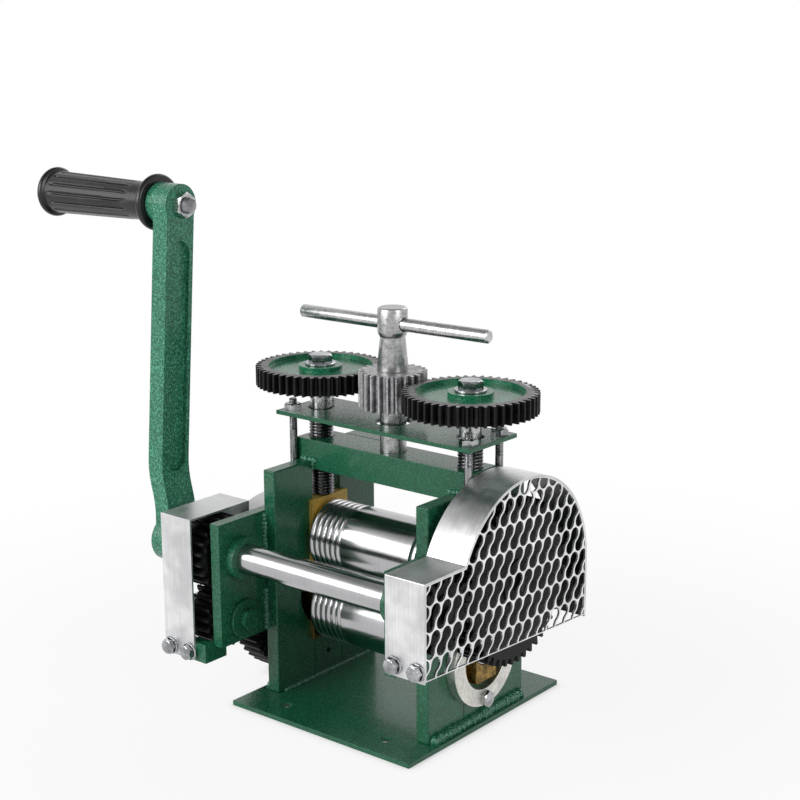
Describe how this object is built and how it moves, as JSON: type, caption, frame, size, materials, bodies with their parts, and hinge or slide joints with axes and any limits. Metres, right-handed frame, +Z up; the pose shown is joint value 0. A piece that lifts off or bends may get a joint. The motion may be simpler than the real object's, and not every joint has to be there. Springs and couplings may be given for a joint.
{
  "type": "rolling mill",
  "caption": "Bench rolling mill for jewellers' sheet and wire: grooved rolls in a welded frame, crank with gear trains, geared screw-down.",
  "frame": {"origin": "underside of the base plate, in the plane of the roll axes and midway between the side walls", "axes": "+X along the rolls, away from the crank; +Y to the rear, away from the crank shaft; +Z up"},
  "size_m": [0.3361, 0.177, 0.3202],
  "materials": {
    "green_paint": "hammered gloss paint",
    "brushed_sheet": "brushed",
    "brass": "cast, rough",
    "bronze": "turned",
    "polished_steel": "ground and polished",
    "black_steel": "black oxide",
    "zinc": "zinc plated",
    "turned_steel": "turned, satin",
    "rubber": "matt"
  },
  "bodies": {
    "frame": {"base_plate": "green_paint", "front_post_left": "green_paint", "front_post_right": "green_paint", "rear_post_left": "green_paint", "rear_post_right": "green_paint", "window_saddle_left": "green_paint", "window_saddle_right": "green_paint", "lower_bearing_block_left": "brass", "lower_bearing_block_right": "brass", "retainer_ring_left": "zinc", "retainer_ring_right": "zinc", "shaft_bush_left": "bronze", "shaft_bush_right": "bronze", "shaft_bracket_left": "green_paint", "shaft_bracket_right": "green_paint", "guard_band_left": "brushed_sheet", "guard_band_right": "brushed_sheet", "guard_face_left": "brushed_sheet", "guard_face_right": "brushed_sheet", "retainer_bolts": "zinc", "crossbar": "green_paint", "crossbar_tab": "green_paint", "idler_stud": "green_paint", "idler_washer": "green_paint", "guard_bolts": "zinc", "lower_thrust_washers": "bronze"},
    "crank": {"front_shaft": "polished_steel", "drive_pinion_left": "black_steel", "drive_pinion_right": "black_steel", "shaft_end_bolt": "zinc", "crank_arm": "green_paint", "grip_bolt": "zinc"},
    "grip": {"crank_grip": "rubber"},
    "idler": {"idler_gear": "black_steel"},
    "lower_roll_set": {"lower_roll": "polished_steel", "lower_roll_gear": "black_steel", "lower_roll_end_bolt": "zinc"},
    "carriage": {"lifting_plate": "green_paint", "lifting_studs": "zinc", "lifting_nuts": "zinc", "upper_bearing_block_left": "brass", "upper_bearing_block_right": "brass", "upper_thrust_washers": "bronze"},
    "upper_roll_set": {"upper_roll": "polished_steel", "upper_roll_end_bolt": "zinc"},
    "upper_gear_set": {"upper_roll_gear": "black_steel"},
    "press_set_left": {"press_screw_left": "turned_steel", "press_gear_left": "green_paint", "press_bolt_left": "zinc"},
    "press_set_right": {"press_screw_right": "turned_steel", "press_gear_right": "green_paint", "press_bolt_right": "zinc"},
    "spindle_set": {"spindle": "turned_steel", "spindle_pinion": "turned_steel", "tommy_bar": "turned_steel"}
  },
  "joints": [
    {"name": "crank_turn", "type": "hinge", "parent": "frame", "child": "crank", "pos_m": [0, -0.06899, 0.097], "axis": [1, 0, 0], "continuous": true},
    {"name": "grip_turn", "type": "hinge", "parent": "crank", "child": "grip", "pos_m": [-0.139, -0.05279, 0.30286], "axis": [1, 0, 0], "continuous": true},
    {"name": "idler_turn", "type": "hinge", "parent": "frame", "child": "idler", "pos_m": [-0.074, -0.06671, 0.05707], "axis": [1, 0, 0], "continuous": true},
    {"name": "lower_roll_turn", "type": "hinge", "parent": "frame", "child": "lower_roll_set", "pos_m": [0, 0, 0.0508], "axis": [1, 0, 0], "continuous": true},
    {"name": "carriage_lift", "type": "slide", "parent": "frame", "child": "carriage", "axis": [0, 0, 1], "range_m": [0, 0.005]},
    {"name": "spindle_turn", "type": "hinge", "parent": "frame", "child": "spindle_set", "pos_m": [0, 0, 0.159], "axis": [0, 0, 1], "range_deg": [-1800.5, 0]},
    {"name": "upper_roll_turn", "type": "hinge", "parent": "carriage", "child": "upper_roll_set", "pos_m": [0, 0, 0.096], "axis": [1, 0, 0], "continuous": true},
    {"name": "upper_gear_roll_off", "type": "hinge", "parent": "upper_roll_set", "child": "upper_gear_set", "pos_m": [0.074, 0, 0.096], "axis": [1, 0, 0], "range_deg": [0, 5.98]},
    {"name": "press_screw_left_turn", "type": "hinge", "parent": "carriage", "child": "press_set_left", "pos_m": [-0.05765, 0, 0.2043], "axis": [0, 0, 1], "range_deg": [0, 900.3]},
    {"name": "press_screw_right_turn", "type": "hinge", "parent": "carriage", "child": "press_set_right", "pos_m": [0.05765, 0, 0.2043], "axis": [0, 0, 1], "range_deg": [0, 900.3]}
  ],
  "couplings": [
    {"joint": "idler_turn", "follows": "crank_turn", "ratio": -1.1053},
    {"joint": "lower_roll_turn", "follows": "crank_turn", "ratio": 0.4375},
    {"joint": "upper_roll_turn", "follows": "crank_turn", "ratio": -0.4375},
    {"joint": "spindle_turn", "follows": "carriage_lift", "rad_per_m": -6283.2},
    {"joint": "upper_gear_roll_off", "follows": "carriage_lift", "rad_per_m": 20.833},
    {"joint": "press_screw_left_turn", "follows": "carriage_lift", "rad_per_m": 3141.6},
    {"joint": "press_screw_right_turn", "follows": "carriage_lift", "rad_per_m": 3141.6}
  ]
}
